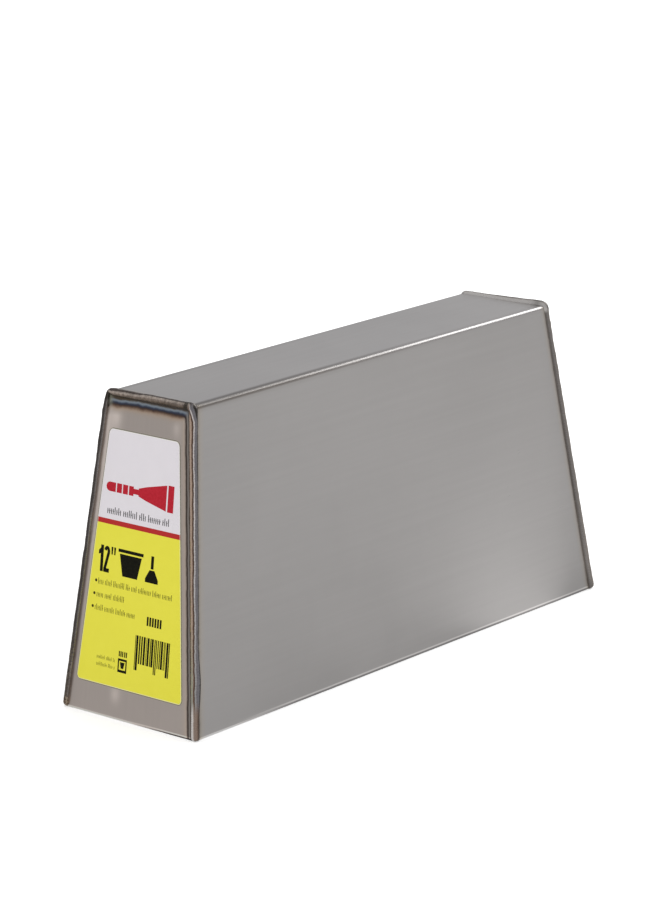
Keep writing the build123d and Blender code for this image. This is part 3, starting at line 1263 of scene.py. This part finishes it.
def pan_picture():
    """A mud pan the right way up with a knife beside it, as solid shapes."""
    low, high = 70.8, 84.0
    rim = bar(14.3, -2.2, 82.4, high)
    body = [(13.3, 81.6), (10.9, low)], [(-1.2, 81.6), (1.2, low)]
    blade_left = [(-4.0, low), (-4.0, 72.6), (-6.6, 77.0)]
    blade_right = [(-12.4, low), (-12.4, 72.6), (-9.8, 77.0)]
    handle = bar(-7.3, -9.1, 77.6, high)
    return [rim, body, (blade_left, blade_right), handle]


def stock_bars():
    """A row of bars of chance widths, with longer bars at both ends and in the middle."""
    rng = np.random.default_rng(77)
    count = 18
    widths = rng.choice([0.55, 0.85, 1.20, 1.70], count)
    gaps = rng.choice([0.35, 0.50, 0.75], count)
    left, right, high = -0.3, -22.9, 44.0
    short_low, long_low = 30.2, 26.8
    scale = (left - right) / (widths.sum() + gaps[:-1].sum())
    longer = (0, 1, count // 2, count // 2 + 1, count - 2, count - 1)
    shapes = []
    for index, (width, gap) in enumerate(zip(widths * scale, gaps * scale)):
        shapes.append(bar(left, left - width, long_low if index in longer else short_low, high))
        left -= width + gap
    return shapes


def small_print():
    """Bullets and lines of ticks, in place of the label's small print."""
    shapes = []
    lines = ((27.9, 66.0, 26.4, -22.7), (28.6, 59.5, 27.0, 7.2), (29.2, 53.0, 27.7, 0.7))
    for seed, (bullet, middle, left, right) in enumerate(lines):
        shapes.append(dot(bullet, middle, 0.75))
        shapes += mock_words(left, right, middle - 1.5, middle + 1.5, 60 + seed)
    for seed, low in enumerate((27.9, 24.4)):
        shapes += mock_words(24.4, 11.8, low, low + 2.0, 70 + seed, 0.22, 0.8)
    return shapes


def bold_print():
    """Short heavy bars, and a small pan in a frame, in place of a catalogue number and a mark."""
    shapes = [bar(left, left - 1.15, 49.8, 54.2) for left in (-6.9, -8.6, -10.3, -12.0, -13.7, -15.4)]
    shapes += [bar(left, left - 0.7, 31.5, 34.2) for left in (10.0, 8.9, 7.8, 6.4, 5.3)]
    left, right, low, high = 10.3, 4.4, 25.0, 29.4
    shapes += [bar(left, right, 23.7, low), bar(left, right, high, 30.5)]
    shapes += [bar(left, left - 0.8, low, high), bar(right + 0.8, right, low, high)]
    shapes.append(([(8.9, 28.8), (8.2, 25.7)], [(5.8, 28.8), (6.5, 25.7)]))
    return shapes


def print_label():
    """Everything printed on the label."""
    red = ink("red_ink", (0.42, 0.012, 0.024), (0.48, 0.018, 0.034))
    black = ink("black_ink", (0.004, 0.004, 0.002), (0.010, 0.010, 0.004))
    grey = ink("grey_ink", (0.030, 0.030, 0.034), (0.07, 0.07, 0.075))
    olive = ink("small_ink", (0.020, 0.018, 0.003), (0.05, 0.045, 0.008))
    printed("print_knife", taping_knife(), red)
    printed("print_tagline", mock_words(23.2, -19.4, 99.9, 103.5, 50, 0.48, 1.2), grey)
    printed("print_size", size_numerals(), black)
    printed("print_pan", pan_picture(), black)
    printed("print_bars", stock_bars(), black)
    printed("print_bold", bold_print(), black)
    printed("print_small", small_print(), olive)


# ---- studio

# The sky's grey in the steel's reflections, from straight down (0) to straight up (1).
SKY_IN_STEEL = [
    (0.00, (0.62, 0.61, 0.60)),
    (0.48, (0.53, 0.525, 0.52)),
    (0.57, (0.50, 0.496, 0.496)),
    (0.61, (0.462, 0.459, 0.467)),
    (0.66, (0.462, 0.459, 0.467)),
    (0.80, (0.46, 0.46, 0.46)),
    (1.00, (0.62, 0.62, 0.62)),
]
WHITE = (1, 1, 1, 1)

FLOOR_REACH = 6.0
FLOOR_DROP = 0.05 * MM  # keeps the floor just clear of the rim
FLOOR_GLOW = 0.32  # extra light from the floor, seen by the camera only, which keeps it near white
BEAM_START = (0.09, -0.05)  # a streak of light on the floor, seen only in the steel
BEAM_TOWARDS = (0.785, -0.619)

# The lamp: a panel high beyond the plain end, whose image makes the bright line along the fold.
PANEL_PLACE = Vector((0.75, -0.03, 0.60))
PANEL_AIM = Vector((0.0, -0.03, 0.15))
PANEL_WIDTH = 0.66
PANEL_HEIGHT = 0.33
PANEL_RADIANCE = 2.6


def aim_back(thing, location, back):
    """Puts a camera or lamp at a place, with its back towards a direction. Returns its rotation."""
    thing.location = location
    thing.rotation_mode = "QUATERNION"
    return back.to_track_quat("Z", "Y")


def make_camera():
    """A long lens at the height and angle of a product shot."""
    data = bpy.data.cameras.new("camera")
    data.lens = CAMERA_LENS
    data.clip_end = 20
    camera = new_object("camera", data)
    flat = cos(CAMERA_ELEVATION)
    back = Vector((sin(CAMERA_AZIMUTH) * flat, -cos(CAMERA_AZIMUTH) * flat, sin(CAMERA_ELEVATION)))
    level = aim_back(camera, CAMERA_AIM + back * CAMERA_DISTANCE, back)
    camera.rotation_quaternion = level @ Quaternion((0, 0, 1), CAMERA_ROLL)
    bpy.context.scene.camera = camera


def make_panel():
    """A rectangular area light, given by how bright its face is."""
    data = bpy.data.lights.new("far_panel", "AREA")
    data.shape = "RECTANGLE"
    data.size = PANEL_WIDTH
    data.size_y = PANEL_HEIGHT
    data.energy = PANEL_RADIANCE * pi * PANEL_WIDTH * PANEL_HEIGHT
    panel = new_object("far_panel", data)
    panel.rotation_quaternion = aim_back(panel, PANEL_PLACE, PANEL_PLACE - PANEL_AIM)
    panel.visible_camera = False


def studio_world():
    """White to the camera, white light for matt surfaces, and a soft grey studio in the steel."""
    world = bpy.data.worlds.new("studio")
    bpy.context.scene.world = world
    world.use_nodes = True
    tree = world.node_tree
    tree.nodes.clear()
    direction = add(tree, "ShaderNodeTexCoord").outputs["Generated"]
    height = add(tree, "ShaderNodeSeparateXYZ", {0: direction}).outputs["Z"]
    grey = ramp(tree, remap(tree, height, -1, 1), SKY_IN_STEEL)
    mirrored, white = [
        add(tree, "ShaderNodeBackground", {"Color": colour, "Strength": 1.0}) for colour in (grey, WHITE)
    ]
    path = add(tree, "ShaderNodeLightPath")
    seen = mix_shaders(tree, path.outputs["Is Glossy Ray"], white, mirrored)
    seen = mix_shaders(tree, path.outputs["Is Camera Ray"], seen, white)
    add(tree, "ShaderNodeOutputWorld", {"Surface": seen.outputs[0]})


def floor_reflection(tree):
    """How bright the floor looks in the steel: grey, darker near the pan, with a streak of light."""
    x = maths(tree, "SUBTRACT", coordinate(tree, "X"), BEAM_START[0])
    y = maths(tree, "SUBTRACT", coordinate(tree, "Y"), BEAM_START[1])
    beam_x, beam_y = BEAM_TOWARDS
    along = total(tree, product(tree, x, beam_x), product(tree, y, beam_y))
    across = total(tree, product(tree, x, -beam_y), product(tree, y, beam_x))
    streak = product(
        tree,
        remap(tree, across, -0.045, -0.004, 0.0, 0.40, "SMOOTHSTEP"),
        remap(tree, across, 0.018, 0.038, 1.0, 0.0, "SMOOTHSTEP"),
        remap(tree, along, 0.0, 0.4, 0.74, 0.92),
        remap(tree, along, 0.6, 1.3, 1.0, 0.5),
        remap(tree, along, -0.03, 0.0),
    )
    near_side = remap(tree, coordinate(tree, "Y"), -0.16, -0.05, 0.535, 0.475)
    return total(tree, near_side, remap(tree, across, -0.16, -0.05, 0.04, 0.0), streak)


def floor_paint():
    """Pale matt paint with a faint glow to the camera, grey in the steel, and clear from below."""
    material, tree = new_material("pale_floor")
    path = add(tree, "ShaderNodeLightPath")
    glow = product(tree, path.outputs["Is Camera Ray"], FLOOR_GLOW)
    paint = add(tree, "ShaderNodeBsdfDiffuse", {"Color": (0.95, 0.95, 0.95, 1)})
    lift = add(tree, "ShaderNodeEmission", {"Color": WHITE, "Strength": glow})
    lit = add(tree, "ShaderNodeAddShader", {0: paint.outputs[0], 1: lift.outputs[0]})
    warm = {"Color": (1, 0.99, 0.98, 1), "Strength": floor_reflection(tree)}
    mirrored = add(tree, "ShaderNodeEmission", warm)
    clear = add(tree, "ShaderNodeBsdfTransparent")
    from_below = add(tree, "ShaderNodeNewGeometry").outputs["Backfacing"]
    seen = mix_shaders(tree, path.outputs["Is Glossy Ray"], lit, mirrored)
    seen = mix_shaders(tree, from_below, seen, clear)
    add(tree, "ShaderNodeOutputMaterial", {"Surface": seen.outputs[0]})
    return material


def make_floor():
    """A plain pale floor."""
    mesh = bpy.data.meshes.new("floor")
    corners = ((-1, -1), (1, -1), (1, 1), (-1, 1))
    points = [(x * FLOOR_REACH, y * FLOOR_REACH, -FLOOR_DROP) for x, y in corners]
    mesh.from_pydata(points, [], [(0, 1, 2, 3)])
    mesh.materials.append(floor_paint())
    new_object("floor", mesh)


# ---- the whole pan

def build_pan():
    """Every visible piece of the pan."""
    plate_steel = steel("plate_steel", up_slope, PLATE_METAL, plate_oxide, plate_rim_shading, PLATE_RIM_SHADE_AND_HIGHLIGHT)
    sheet_steel = steel("sheet_steel", along_x, SHEET_METAL, sheet_oxide, sheet_rim_shading, SHEET_RIM_SHADE_AND_HIGHLIGHT)
    hot = (LEFT_BANDS, BASE_BANDS, RIGHT_BANDS)
    cool = (PLAIN_SIDE_BANDS, PLAIN_BASE_BANDS, PLAIN_SIDE_BANDS)
    ends = (
        (-1, "label_end", weld_metal("label_end_weld", hot, spatter=0.35, mottle=0.27)),
        (1, "plain_end", weld_metal("plain_end_weld", cool, spatter=0.15, mottle=0.0)),
    )
    folded_sheet(sheet_steel)
    for end, label, weld in ends:
        seed = 40 + 10 * end
        end_plate(end, label, label + "_plate", plate_steel)
        base_run(end, label + "_base_bead", label + "_base_weld", weld, seed)
        side_run(end, 1, label + "_left_bead", label + "_left_weld", weld, seed + 3)
        side_run(end, -1, label + "_right_bead", label + "_right_weld", weld, seed + 6)
    label_layer("label_glue", "label_adhesive", -GLUE_MARGIN, -LABEL - ADHESIVE, -LABEL, adhesive())
    label_layer("label_face", "label", 0, -LABEL, 0, label_stock())
    print_label()


bpy.context.scene.view_settings.view_transform = "Standard"
build_pan()
make_floor()
studio_world()
make_panel()
make_camera()
